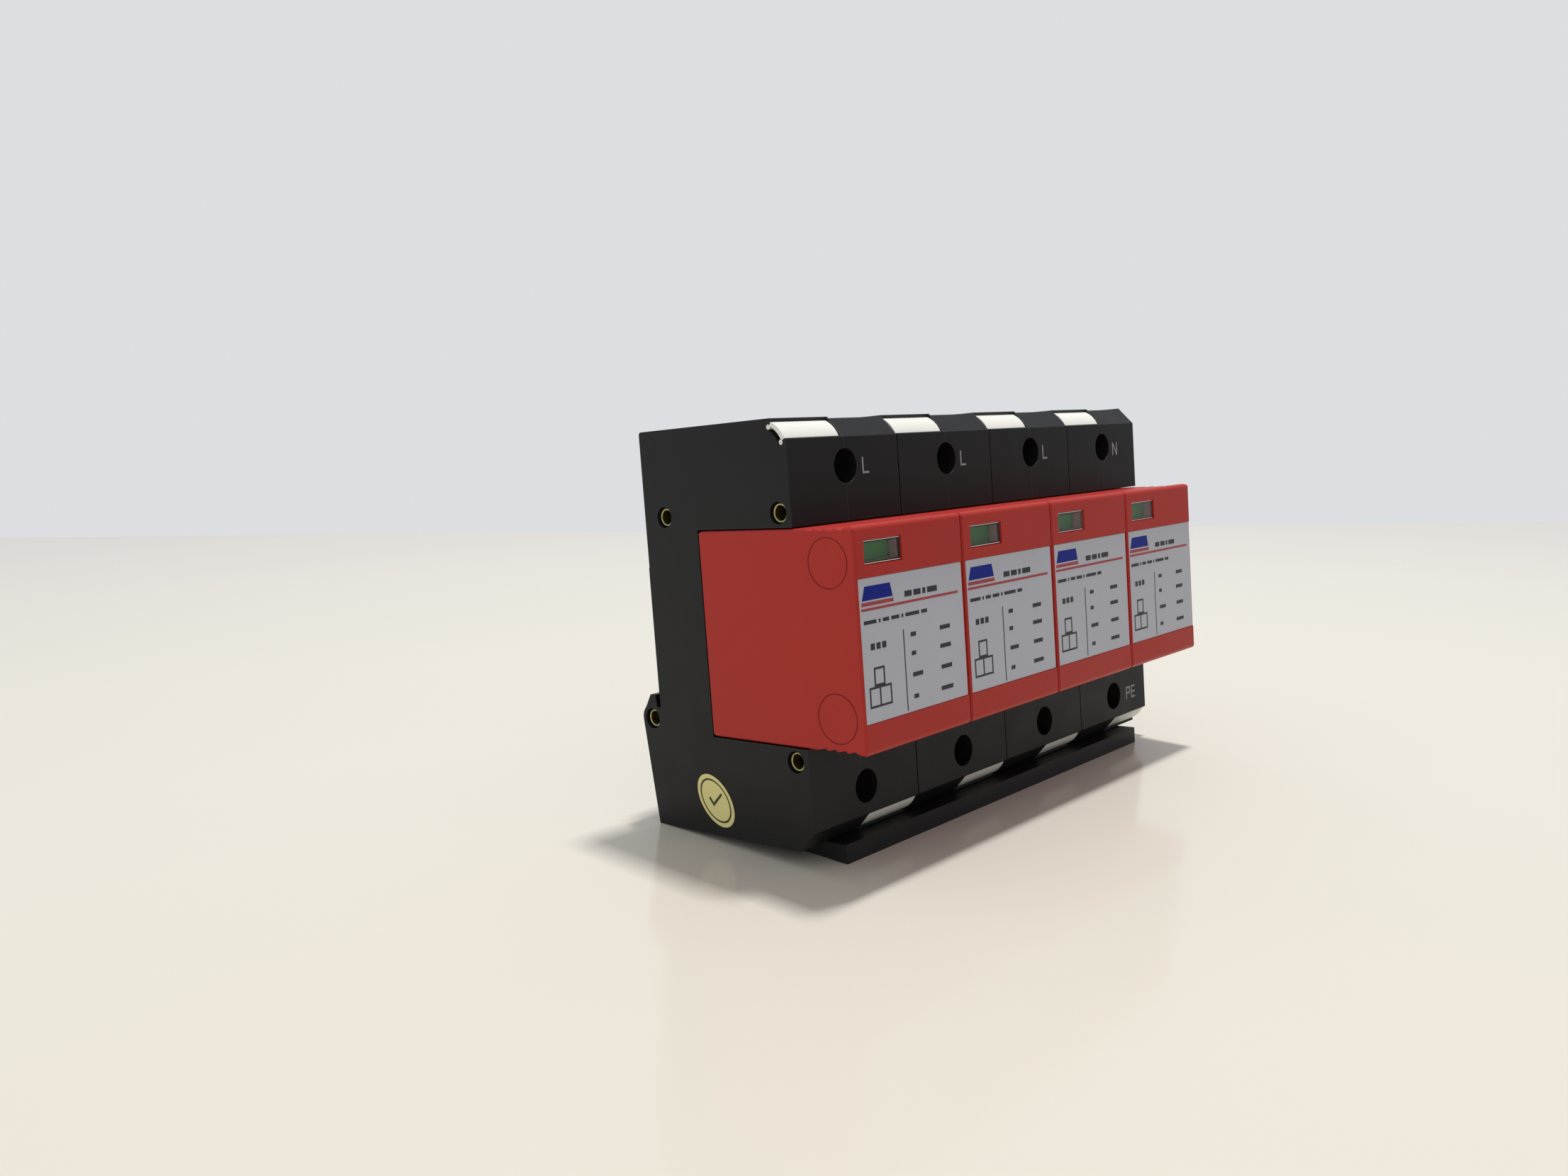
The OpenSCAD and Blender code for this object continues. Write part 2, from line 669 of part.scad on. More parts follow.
module rivets() {
  color("#c9b878") for (k = [1:pole_count], p = rivet_at) translate([pole_x(k), 0, 0]) rivet(p);
}

// Marker tags: one at the upper left and one at the lower right end corner of each pole
module marker_tag() {
  side_slab(-half_w + slide_clear, -tag_end_wall) tag_section();
}

module marker_tags() {
  color("#efece2") for (k = [1:pole_count]) translate([pole_x(k), 0, 0]) {
    marker_tag();
    rotate([0, 180, 0]) marker_tag();
  }
}

// Earth comb: a copper strip under the base, with a finger up into each lower terminal
module earth_comb() {
  x_end = pole_x(pole_count) + comb_over - comb_wall - slide_clear;
  color("#b9774a") {
    block(-x_end, x_end, finger_back, finger_back + comb_strip_w, strip_z1 - bar_t, strip_z1);
    for (k = [1:pole_count]) translate([pole_x(k), 0, 0])
      block(-finger_w / 2, finger_w / 2, finger_back, finger_back + bar_t,
        strip_z1 - eps, -base_top + finger_h);
  }
}

// Insulating channel of the comb, open to the rear, with its top set back behind the fingers
module comb_channel() {
  x_end = pole_x(pole_count) + comb_over;
  slot_end = x_end - comb_wall;
  slot_front = finger_back + comb_strip_w + slide_clear;
  color("#2b2b2d") difference() {
    block(-x_end, x_end, finger_back, arm_depth + comb_front, comb_z0, -base_top);
    block(-slot_end, slot_end, finger_back - 1, slot_front,
      strip_z1 - bar_t - comb_play, strip_z1 + comb_play);
    block(-slot_end, slot_end, finger_back - 1, finger_back + bar_t + slide_clear, strip_z1, -base_top + 1);
  }
}

// Outer form of a cartridge: the case with rounded edges and the taller front plate
module cartridge_body() {
  lip = cart_h / 2 + lip_h;
  intersection() {
    union() {
      side_slab(-half_w, half_w)
        round_rect(-cart_front + front_r, -cart_rear, -cart_h / 2, cart_h / 2, fine_r, rear_r);
      side_slab(-half_w, half_w) round_rect(-cart_front, -front_in, -lip, lip, front_r, lip_h);
    }
    translate([0, 0, -lip]) linear_extrude(2 * lip) plan_outline();
    front_slab(0, cart_front + 1) round_rect(-half_w, half_w, -lip, lip, front_r, front_r);
  }
}

// Plan of the cartridge, with rounded front edges
module plan_outline() {
  rotate(90) round_rect(-cart_front, -cart_rear, -half_w, half_w, edge_r, fine_r);
}

// Side view of the finger grip: saw teeth that are steep towards the front
module grip_teeth() {
  for (i = [0:3]) translate([-front_in + i * tooth_pitch, cart_h / 2])
    polygon([[fine_r, 1], [fine_r, 0], [tooth_pitch / 4, -tooth_depth], [tooth_pitch, 0], [tooth_pitch, 1]]);
}

// Moulded rings on one side face
module side_rings() {
  for (s = [-1, 1]) difference() {
    cross_rod([-cart_front + ring_in, s * ring_z], -half_w - 1, -half_w + ring_groove, ring_d);
    cross_rod([-cart_front + ring_in, s * ring_z], -half_w - 2, -half_w + 1, ring_d - 2 * ring_groove);
  }
}

// Rails behind the window that guide the status flag
module flag_rails() {
  lower = flag_z0 - slide_clear;
  end = blade_t / 2 + flag_travel + flag_rail;
  back = rail_back - flag_rail;
  block(-case_in_w - eps, end, back, front_in + eps, lower - flag_rail, lower);
  block(-case_in_w - eps, end, back, rail_back, lower - eps, lower + flag_rail);
  block(-case_in_w - eps, end, back, rail_back, flag_z1 - flag_rail, case_in_h + eps);
}

// Cartridge case: a box open at the rear, with the window opening and the label's recess in front
module cartridge_case(k) {
  color("#b23a33") translate([pole_x(k), 0, 0]) {
    difference() {
      cartridge_body();
      block(-case_in_w, case_in_w, cart_rear - 1, front_in, -case_in_h, case_in_h);
      for (m = [0, 1]) mirror([0, 0, m]) side_slab(-half_w - 1, half_w + 1) grip_teeth();
      for (m = [0, 1]) mirror([m, 0, 0]) side_rings();
      block(win_x0, win_x0 + win_w, front_in - 1, cart_front + 1, win_z0, win_z1);
      block(-half_w + label_rim, half_w + 1, cart_front - label_sink, cart_front + 1, label_z0, label_z1);
    }
    flag_rails();
  }
}

// Back plate of the cartridge, with a slot for each blade
module cartridge_back(k) {
  color("#8f2e29") translate([pole_x(k), 0, 0]) difference() {
    block(-case_in_w, case_in_w, cart_rear, plate_front, -case_in_h, case_in_h);
    for (s = [-1, 1]) block(-blade_t / 2, blade_t / 2, cart_rear - 1, plate_front + 1,
      s * blade_z - blade_h / 2, s * blade_z + blade_h / 2);
  }
}

// Clear status window: a cap that is hollow behind, flanged behind the front plate
module status_window(k) {
  f = win_flange;
  w = win_wall;
  face = cart_front - win_sink;
  color("#cfd8d8", 0.5) translate([pole_x(k), 0, 0]) difference() {
    union() {
      block(win_x0, win_x0 + win_w, front_in - eps, face, win_z0, win_z1);
      block(win_x0 - f, win_x0 + win_w + f, front_in - win_flange_t, front_in, win_z0 - f, win_z1 + f);
    }
    block(win_x0 + w, win_x0 + win_w - w, front_in - win_flange_t - 1, face - win_face_t,
      win_z0 + w, win_z1 - w);
  }
}

// Status flag: a green plate behind the window, with an arm back to the thermal release
module status_flag(k) {
  arm_x = blade_t / 2;
  t = flag_arm_t;
  color("#3f7d4c") translate([pole_x(k), 0, 0]) {
    block(win_x0, win_x0 + flag_w, flag_back, flag_front, flag_z0, flag_z1);
    block(win_x0 + flag_w - eps, arm_x, flag_back, flag_front, flag_arm_z - t, flag_arm_z + t);
    block(arm_x - t, arm_x, flag_back - flag_arm_len, flag_back + eps, flag_arm_z - t, flag_arm_z + t);
  }
}

// Varistor block between its two electrode plates
mov_x0 = blade_t / 2 + electrode_t;
mov_gap = 1.2;
mov_d0 = plate_front + bar_t + mov_gap;
mov_z0 = blade_z + blade_h / 2 - blade_t - mov_h;

module varistor(k) {
  color("#2f4f7f") translate([pole_x(k), 0, 0]) {
    block(mov_x0, mov_x0 + mov_t, mov_d0, mov_d0 + mov_d, mov_z0, mov_z0 + mov_h);
    for (x = [mov_x0 - electrode_t, mov_x0 + mov_t])
      block(x, x + electrode_t, mov_d0 + electrode_in, mov_d0 + mov_d - electrode_in,
        mov_z0 + electrode_in, mov_z0 + mov_h - electrode_in);
  }
}

// Plug blades: the upper one meets the near electrode and carries the thermal release's spring strip,
// the lower one runs round behind the varistor to its far electrode
module plug_blades(k) {
  hw = blade_t / 2;
  up0 = blade_z - blade_h / 2;
  up1 = blade_z + blade_h / 2;
  strip_in = 1;
  strip_end = rail_back - flag_rail - slide_clear;
  tab_end = mov_d0 + blade_tab;
  far_x = mov_x0 + mov_t + electrode_t;
  color("#c98f5c") translate([pole_x(k), 0, 0]) {
    block(-hw, hw, blade_tip, tab_end, up0, up1);
    block(-hw, -hw + strip_t, tab_end - eps, strip_end, up0 + strip_in, up1 - strip_in);
    block(-hw, -hw + strip_t, strip_end - strip_end_w, strip_end,
      up1 - strip_in - eps, flag_arm_z + strip_in);
    block(-hw, hw, blade_tip, plate_front + bar_t, -up1, -up0);
    block(hw - eps, far_x + bar_t, plate_front, plate_front + bar_t, -up1, -up0);
    block(far_x, far_x + bar_t, plate_front + bar_t - eps, mov_d0 + electrode_in + blade_tab, -up1, -up0);
  }
}

base_shell_left(1);  // base_shell_left_1
base_shell_left(2);  // base_shell_left_2
base_shell_left(3);  // base_shell_left_3
base_shell_left(4);  // base_shell_left_4
base_shell_right(1);  // base_shell_right_1
base_shell_right(2);  // base_shell_right_2
base_shell_right(3);  // base_shell_right_3
base_shell_right(4);  // base_shell_right_4
terminal_screw(1, 1);  // terminal_screw_top_1
terminal_screw(2, 1);  // terminal_screw_top_2
terminal_screw(3, 1);  // terminal_screw_top_3
terminal_screw(4, 1);  // terminal_screw_top_4
terminal_screw(1, -1);  // terminal_screw_bottom_1
terminal_screw(2, -1);  // terminal_screw_bottom_2
terminal_screw(3, -1);  // terminal_screw_bottom_3
terminal_screw(4, -1);  // terminal_screw_bottom_4
clamp_cage(1, 1);  // clamp_cage_top_1
clamp_cage(2, 1);  // clamp_cage_top_2
clamp_cage(3, 1);  // clamp_cage_top_3
clamp_cage(4, 1);  // clamp_cage_top_4
clamp_cage(1, -1);  // clamp_cage_bottom_1
clamp_cage(2, -1);  // clamp_cage_bottom_2
clamp_cage(3, -1);  // clamp_cage_bottom_3
clamp_cage(4, -1);  // clamp_cage_bottom_4
rail_latch(1);  // rail_latch_1
rail_latch(2);  // rail_latch_2
rail_latch(3);  // rail_latch_3
rail_latch(4);  // rail_latch_4
latch_springs();
plug_contacts();
rivets();
marker_tags();
earth_comb();
comb_channel();
cartridge_case(1);  // cartridge_case_1
cartridge_case(2);  // cartridge_case_2
cartridge_case(3);  // cartridge_case_3
cartridge_case(4);  // cartridge_case_4
cartridge_back(1);  // cartridge_back_1
cartridge_back(2);  // cartridge_back_2
cartridge_back(3);  // cartridge_back_3
cartridge_back(4);  // cartridge_back_4
status_window(1);  // status_window_1
status_window(2);  // status_window_2
status_window(3);  // status_window_3
status_window(4);  // status_window_4
status_flag(1);  // status_flag_1
status_flag(2);  // status_flag_2
status_flag(3);  // status_flag_3
status_flag(4);  // status_flag_4
varistor(1);  // varistor_1
varistor(2);  // varistor_2
varistor(3);  // varistor_3
varistor(4);  // varistor_4
plug_blades(1);  // plug_blades_1
plug_blades(2);  // plug_blades_2
plug_blades(3);  // plug_blades_3
plug_blades(4);  // plug_blades_4
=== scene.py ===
import math

import bpy
import numpy as np
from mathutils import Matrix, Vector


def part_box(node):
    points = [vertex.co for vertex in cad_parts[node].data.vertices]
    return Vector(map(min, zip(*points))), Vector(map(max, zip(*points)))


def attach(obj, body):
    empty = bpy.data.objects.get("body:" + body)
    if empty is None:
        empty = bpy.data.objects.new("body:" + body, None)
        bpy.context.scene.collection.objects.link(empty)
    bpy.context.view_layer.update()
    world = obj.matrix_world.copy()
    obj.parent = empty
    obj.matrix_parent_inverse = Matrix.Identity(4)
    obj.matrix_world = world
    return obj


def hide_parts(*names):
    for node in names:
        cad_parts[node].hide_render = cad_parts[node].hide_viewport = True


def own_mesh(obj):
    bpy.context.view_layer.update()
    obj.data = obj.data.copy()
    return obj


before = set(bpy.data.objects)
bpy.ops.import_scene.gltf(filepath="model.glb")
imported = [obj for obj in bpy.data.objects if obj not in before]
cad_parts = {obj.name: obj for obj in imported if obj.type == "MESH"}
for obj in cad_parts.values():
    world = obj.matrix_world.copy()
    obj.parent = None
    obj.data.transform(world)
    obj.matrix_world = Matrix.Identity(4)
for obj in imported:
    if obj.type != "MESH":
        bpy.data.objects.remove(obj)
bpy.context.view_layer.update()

# Base shells
# Each pole's base is two half shells of black glass-filled polyamide, injection moulded in a
# spark-eroded tool and riveted together along a seam that runs through the screw holes.
MM = 0.001
POLES = (1, 2, 3, 4)
GLOSS_DRIFT, GRAIN_STRENGTH = 0.05, 0.35
# Noise lies mostly between these two values.
NOISE_LOW, NOISE_HIGH = 0.3, 0.7
# Cosines of 14 and 41 degrees, the turns of the surface at which the painted edge highlight starts and is
# full.
HIGHLIGHT_STARTS, HIGHLIGHT_FULL = 0.97, 0.75


def linear(code):
    """sRGB hex to linear colour: ((c + 0.055) / 1.055) ** 2.4, or c / 12.92 where c is dark."""
    c = np.array([int(code[i:i + 2], 16) for i in (1, 3, 5)]) / 255
    return (*np.where(c > 0.04045, ((c + 0.055) / 1.055) ** 2.4, c / 12.92).tolist(), 1.0)


def node(finish, kind, values=None, **settings):
    """Adds one shader node. Settings are its properties, values its inputs: a (node, output)
    pair is a link, and anything else is set on the socket."""
    tree = finish.node_tree
    made = tree.nodes.new("ShaderNode" + kind)
    for name, value in settings.items():
        setattr(made, name, value)
    for name, value in (values or {}).items():
        if isinstance(value, tuple) and isinstance(value[0], bpy.types.Node):
            tree.links.new(value[0].outputs[value[1]], made.inputs[name])
        else:
            made.inputs[name].default_value = value
    return made


def new_finish(name):
    """A material with no nodes yet."""
    finish = bpy.data.materials.new(name)
    finish.use_nodes = True
    finish.node_tree.nodes.clear()
    return finish


def satin(name, deep, pale, gloss, grain, patch=9, relief=0.02, edge=0.0, edge_highlight=None, sheen=0.3):
    """Moulded plastic, film, ink or paper. Two close tones drift over patches of that many mm,
    and the roughness drifts with them about gloss. A grain of that many mm, relief mm high,
    breaks up the reflections, and sheen is the mirror share. Edges are rounded by edge mm. Where
    an edge highlight colour is given, a highlight of that colour is painted along the edges in
    places, as the cosine between the rounded normal and the flat one falls from 0.97 to 0.75."""
    finish = new_finish(name)
    place = node(finish, "TexCoord")
    drift = node(finish, "TexNoise", {"Vector": (place, "Object"), "Scale": 1 / (patch * MM),
                                      "Detail": 3.0})
    fine = node(finish, "TexNoise", {"Vector": (place, "Object"), "Scale": 1 / (grain * MM),
                                     "Detail": 2.0})
    tone = node(finish, "MixRGB", {"Fac": (drift, "Fac"), "Color1": linear(deep),
                                   "Color2": linear(pale)})
    dull = node(finish, "MapRange", {"Value": (drift, "Fac"),
                                     "From Min": NOISE_LOW, "From Max": NOISE_HIGH,
                                     "To Min": gloss - GLOSS_DRIFT, "To Max": gloss + GLOSS_DRIFT})
    rounded = node(finish, "Bevel", {"Radius": edge * MM}, samples=6)
    rough = node(finish, "Bump", {"Height": (fine, "Fac"), "Strength": GRAIN_STRENGTH,
                                  "Distance": relief * MM, "Normal": (rounded, "Normal")})
    # Painted highlight: the edge highlight colour is mixed in where the rounded normal leaves the flat
    # one, more in some patches of the drift than in others.
    if edge_highlight:
        flat = node(finish, "NewGeometry")
        cosine = node(finish, "VectorMath", {0: (rounded, "Normal"), 1: (flat, "Normal")},
                      operation="DOT_PRODUCT")
        near = node(finish, "MapRange", {"Value": (cosine, "Value"),
                                         "From Min": HIGHLIGHT_STARTS, "From Max": HIGHLIGHT_FULL})
        painted_highlight = node(finish, "Math", {0: (near, "Result"), 1: (drift, "Fac")}, operation="MULTIPLY")
        tone = node(finish, "MixRGB", {"Fac": (painted_highlight, "Value"), "Color1": (tone, "Color"),
                                       "Color2": linear(edge_highlight)})
    skin = node(finish, "BsdfPrincipled", {"Base Color": (tone, "Color"), "Roughness": (dull, "Result"),
                                           "Normal": (rough, "Normal"), "Specular IOR Level": sheen})
    node(finish, "OutputMaterial", {"Surface": (skin, "BSDF")})
    return finish


def dress(names, finish):
    """Gives CAD nodes their finish."""
    for name in names:
        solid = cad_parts[name]
        solid.data.materials.clear()
        solid.data.materials.append(finish)


# Spark erosion leaves a grain of about 0.1 mm, drawn at 0.5 mm so that it shows: the black looks
# matt from the front and greys softly where it faces the ceiling. A grey highlight is painted along
# the edges.
black_polyamide = satin("moulded black polyamide", "#141416", "#1b1b1c", gloss=0.48, grain=0.5,
                        edge=0.25, edge_highlight="#55555a", sheen=0.25)
dress([f"base_shell_{side}_{k}" for side in ("left", "right") for k in POLES], black_polyamide)

# Rail latches
# A black acetal slider in the rear of each pole is pressed down behind the rail by a coil spring
# of drawn wire, which bears on a lug of the base.
POLE_PITCH = 36 * MM
SPRING_RADIUS, WIRE_RADIUS, SPRING_SLACK = 0.725 * MM, 0.175 * MM, 0.05 * MM
SPRING_TURNS, STEPS_PER_TURN, WIRE_SIDES = 7, 24, 10
END_FLAT, END_TAPER = 0.11, 5
TARNISH_DRIFT = 0.08
springs_low, springs_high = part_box("latch_springs")

# Acetal is dense and slippery, so it is a touch greyer and shinier than the shells.
black_acetal = satin("moulded black acetal", "#242426", "#2b2b2d", gloss=0.42, grain=0.5, edge=0.2)
dress([f"rail_latch_{k}" for k in POLES], black_acetal)


def pole_x(k):
    """Middle of pole k along the rail: the four poles lie evenly about the origin."""
    return (k - (len(POLES) + 1) / 2) * POLE_PITCH


def bare_metal(name, deep, pale, gloss, patch, brush=(1, 1, 1)):
    """Rolled, drawn or plated metal. Two tones of tarnish lie over patches of that many mm, drawn
    out along an axis by the brush factors, and the roughness follows them about gloss."""
    finish = new_finish(name)
    place = node(finish, "TexCoord")
    along = node(finish, "Mapping", {"Vector": (place, "Object"), "Scale": brush})
    stain = node(finish, "TexNoise", {"Vector": (along, "Vector"), "Scale": 1 / (patch * MM),
                                      "Detail": 4.0})
    tone = node(finish, "MixRGB", {"Fac": (stain, "Fac"), "Color1": linear(deep),
                                   "Color2": linear(pale)})
    dull = node(finish, "MapRange", {"Value": (stain, "Fac"),
                                     "From Min": NOISE_LOW, "From Max": NOISE_HIGH,
                                     "To Min": gloss - TARNISH_DRIFT, "To Max": gloss + TARNISH_DRIFT})
    skin = node(finish, "BsdfPrincipled", {"Base Color": (tone, "Color"), "Metallic": 1.0,
                                           "Roughness": (dull, "Result")})
    node(finish, "OutputMaterial", {"Surface": (skin, "BSDF")})
    return finish


def piece(name, points, faces, finish, body, smooth=True):
    """A mesh from an array of points and a list of faces, with its finish, riding on a body."""
    mesh = bpy.data.meshes.new(name)
    mesh.from_pydata(points.reshape(-1, 3).tolist(), [], faces)
    mesh.materials.append(finish)
    mesh.polygons.foreach_set("use_smooth", np.full(len(mesh.polygons), smooth))
    made = bpy.data.objects.new(name, mesh)
    bpy.context.collection.objects.link(made)
    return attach(made, body)


def grid_faces(rows, columns, closed):
    """Quads of a grid of points that closes on itself from column to column, and from row to
    row too where it is closed."""
    i, j = np.meshgrid(np.arange(rows if closed else rows - 1), np.arange(columns), indexing="ij")
    up, right = (i + 1) % rows, (j + 1) % columns
    quads = np.stack([i * columns + j, i * columns + right, up * columns + right, up * columns + j], -1)
    return quads.reshape(-1, 4)


def coil(foot, length):
    """Compression spring along Z: the path is a helix whose height runs as u - END_FLAT sin(2 pi u)
    of its length, so that the end turns lie flat, and the wire's circle is carried along it. The
    wire narrows to a fifth at both ends."""
    u = np.linspace(0, 1, SPRING_TURNS * STEPS_PER_TURN + 1)[:, None]
    phi = np.linspace(2 * np.pi, 0, WIRE_SIDES, endpoint=False)[None, :]
    low = WIRE_RADIUS + SPRING_SLACK
    angle = 2 * np.pi * SPRING_TURNS * u
    height = foot[2] + low + (length - 2 * low) * (u - END_FLAT * np.sin(2 * np.pi * u))
    wire = np.full_like(u, WIRE_RADIUS)
    wire[[0, -1]] = WIRE_RADIUS / END_TAPER
    reach = SPRING_RADIUS + wire * np.cos(phi)
    return np.stack([foot[0] + reach * np.cos(angle), foot[1] + reach * np.sin(angle),
                     height + wire * np.sin(phi)], -1)


# Drawn wire is bright and even, with a soft streak of light along each turn.
spring_steel = bare_metal("drawn spring steel", "#b9bcc0", "#d2d4d6", gloss=0.3, patch=0.6)
for k in POLES:
    foot = (pole_x(k), (springs_low.y + springs_high.y) / 2, springs_low.z)
    length = springs_high.z - springs_low.z
    wire = coil(foot, length)
    rows, columns = wire.shape[:2]
    tips = np.arange(columns) + np.array([[0], [(rows - 1) * columns]])
    faces = grid_faces(rows, columns, False).tolist() + [tips[0, ::-1].tolist(), tips[1].tolist()]
    spring = piece(f"latch_spring_{k}", wire, faces, spring_steel, "base")
    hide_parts("latch_springs")
    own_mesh(spring)

# Plug contacts and terminals
# Stamped copper-alloy contacts run from the clamps to the plug blades. Each clamp is a bent,
# yellow-passivated steel cage drawn forwards by a zinc-plated screw.
# The strip's rolling marks run along it, the passivation gives the cages a straw tint, and the
# zinc makes the screws a cool dull grey.
contact_copper = bare_metal("rolled copper alloy", "#b98a5e", "#cfa277", gloss=0.34, patch=3,
                            brush=(1, 1, 0.2))
clamp_steel = bare_metal("yellow-passivated steel", "#b3a985", "#c9c3ae", gloss=0.38, patch=1.5)
screw_steel = bare_metal("zinc-plated steel", "#8e9194", "#aeb1b4", gloss=0.36, patch=1)
dress(["plug_contacts"], contact_copper)
dress([f"clamp_cage_{end}_{k}" for end in ("top", "bottom") for k in POLES], clamp_steel)
dress([f"terminal_screw_{end}_{k}" for end in ("top", "bottom") for k in POLES], screw_steel)

# Rivets
# Four hollow rivets of brass go through each base. Their ends are rolled over into a round rim
# that lies in a counterbore of the side face.
RIVET_BORE, RIVET_SHANK, RIVET_RIM = 1.55 * MM, 1.85 * MM, 2.1 * MM
RIM_HEIGHT = 0.5 * MM
RIM_STEPS, RIVET_STEPS = 13, 40
RIVET_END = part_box("rivets")[1].x - pole_x(POLES[-1])
# Their places (y, z) in the side: upper rear, upper front, lower front and in the hook foot.
RIVET_PLACES = np.array([[-6.6, 25.8], [-41.4, 25.8], [-41.4, -25.8], [2.9, -20.3]]) * MM


def rolled_tube(centres):
    """Tubes along X: the wall's section, with a half-round rim at each end, is a closed loop of
    (x, radius) that turns once round each centre."""
    t = np.linspace(0, np.pi, RIM_STEPS)
    half = (RIVET_RIM - RIVET_BORE) / 2
    rim = np.stack([RIVET_END - half + half * np.sin(t), RIVET_BORE + half - half * np.cos(t)], 1)
    under = np.array([[RIVET_END - RIM_HEIGHT, RIVET_RIM], [RIVET_END - RIM_HEIGHT, RIVET_SHANK]])
    right = np.concatenate([rim, under])
    section = np.concatenate([right, right[::-1] * (-1, 1)])
    angle = np.linspace(2 * np.pi, 0, RIVET_STEPS, endpoint=False)[None, :]
    x = np.broadcast_to(section[:, :1], (len(section), RIVET_STEPS))
    ring = np.stack([x, section[:, 1:] * np.cos(angle), section[:, 1:] * np.sin(angle)], -1)
    return centres[:, None, None, :] + ring


# Old brass has gone dull and pale, with a soft bright line round the top of the roll.
rolled_brass = bare_metal("dull rolled brass", "#a19561", "#c8bd86", gloss=0.34, patch=0.8)
tubes = rolled_tube(np.array([[pole_x(k), *place] for k in POLES for place in RIVET_PLACES]))
starts = np.arange(len(tubes))[:, None, None] * tubes[0, ..., 0].size
tube_faces = (grid_faces(*tubes.shape[1:3], True) + starts).reshape(-1, 4)
rivets = piece("rivets_rolled", tubes, tube_faces.tolist(), rolled_brass, "base")
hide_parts("rivets")

# Marker tags
# Blank strips of ivory polypropylene, snapped by a bead along each edge into the end corners.
# The plastic is soft and slightly waxy, so the strips stay bright with no hard highlight.
ivory_polypropylene = satin("moulded ivory polypropylene", "#ece9e0", "#f2f0e8", gloss=0.4,
                            grain=0.6, edge=0.15)
dress(["marker_tags"], ivory_polypropylene)

# Earth comb
# A bare copper comb joins the lower terminals. It lies in a black extruded channel under the
# base, which the whole row leans on when it stands on a table.
# Handled copper is brown and streaked along the strip, and extruded vinyl is smooth and dark.
bare_copper = bare_metal("bare copper strip", "#a3653f", "#c0845a", gloss=0.36, patch=4,
                         brush=(0.2, 1, 1))
extruded_vinyl = satin("extruded black vinyl", "#171719", "#1e1e20", gloss=0.45, grain=0.7, edge=0.2)
dress(["earth_comb"], bare_copper)
dress(["comb_channel"], extruded_vinyl)

# Cartridges
# Red ABS cases with a satin moulded face, closed at the rear by a plate that holds the two
# blades. They plug into the base and pull out to the front.
# The pigment is deep and even, the fine grain, drawn at 0.5 mm, spreads the ceiling's light, and a
# paler highlight is painted along the edges.
red_abs = satin("moulded red ABS", "#ae2a22", "#b62f27", gloss=0.42, grain=0.5, patch=14, edge=0.2,
                edge_highlight="#cf5a50", sheen=0.25)
dark_red_abs = satin("moulded dark red ABS", "#92251f", "#9b2a24", gloss=0.45, grain=0.5, edge=0.2)
dress([f"cartridge_case_{k}" for k in POLES], red_abs)
dress([f"cartridge_back_{k}" for k in POLES], dark_red_abs)

# Varistors
# A pressed zinc-oxide block in blue epoxy with a plate electrode on each face, soldered to the
# silver-plated blades.
# The dip leaves an uneven, glossy coat, and the silver is warm where the copper shows through.
blue_epoxy = satin("dipped blue epoxy", "#294874", "#34568a", gloss=0.35, grain=1.2, relief=0.1)
blade_silver = bare_metal("silver-plated copper", "#b79f7f", "#cdb797", gloss=0.3, patch=3)
dress([f"varistor_{k}" for k in POLES], blue_epoxy)
dress([f"plug_blades_{k}" for k in POLES], blade_silver)

# Status windows
# A clear polycarbonate cap, moulded hollow with a flange at its foot, is snapped in behind each
# front plate. The flag behind it is green while the varistor is sound, and slides away when the
# thermal release lets go.
CAP_WALL, CAP_FACE, CAP_EDGE = 0.6 * MM, 0.8 * MM, 0.35 * MM
CAP_FLANGE, FLANGE_HEIGHT = 0.6 * MM, 1.0 * MM
EDGE_STEPS = 8
# The bands of faces that are the outer and the inner side walls, counted from the front.
OUTER_WALL, INNER_WALL = EDGE_STEPS - 1, EDGE_STEPS + 3


def clear_cap(low, high):
    """A hollow rectangular cap that fills a box, open at the rear. Its section of (inset, depth)
    runs from the face over a quarter-round edge, down the outside and the flange and up the inside,
    and each point of it is carried round the four corners."""
    t = np.linspace(0, np.pi / 2, EDGE_STEPS)
    rounded = CAP_EDGE * np.stack([1 - np.sin(t), 1 - np.cos(t)], -1) + (CAP_FLANGE, 0)
    deep = high.y - low.y
    walls = np.array([[CAP_FLANGE, deep - FLANGE_HEIGHT], [0, deep - FLANGE_HEIGHT], [0, deep],
                      [CAP_FLANGE + CAP_WALL, deep], [CAP_FLANGE + CAP_WALL, CAP_FACE]])
    inset, depth = np.concatenate([rounded, walls]).T
    x = np.stack([low.x + inset, high.x - inset, high.x - inset, low.x + inset], -1)
    z = np.stack([low.z + inset, low.z + inset, high.z - inset, high.z - inset], -1)
    return np.stack([x, np.broadcast_to(low.y + depth[:, None], x.shape), z], -1)


# The polished face is clear, with lines of light in its edges. Its IOR is set below the plastic's
# 1.58, so that the flag shows as plainly as on the real one. The side walls are left as drawn from
# the tool: rough and milky, with the glow of the red case round them painted in as pink. The flag
# is plain satin.
clear_polycarbonate = new_finish("clear polycarbonate")
clear_skin = node(clear_polycarbonate, "BsdfPrincipled", {
    "Base Color": linear("#f6f8f6"), "Roughness": 0.08, "IOR": 1.4, "Transmission Weight": 1.0})
node(clear_polycarbonate, "OutputMaterial", {"Surface": (clear_skin, "BSDF")})
polycarbonate_painted_pink = satin("rough-drawn polycarbonate", "#bd918d", "#d5aca8", gloss=0.45, grain=0.4,
                            patch=1, relief=0.05)
# Painted light: the flag's green is set brighter than its own, for the light that the clear cap keeps from
# it.
green_abs = satin("moulded green ABS", "#4d9a48", "#57a552", gloss=0.4, grain=0.6)
dress([f"status_flag_{k}" for k in POLES], green_abs)
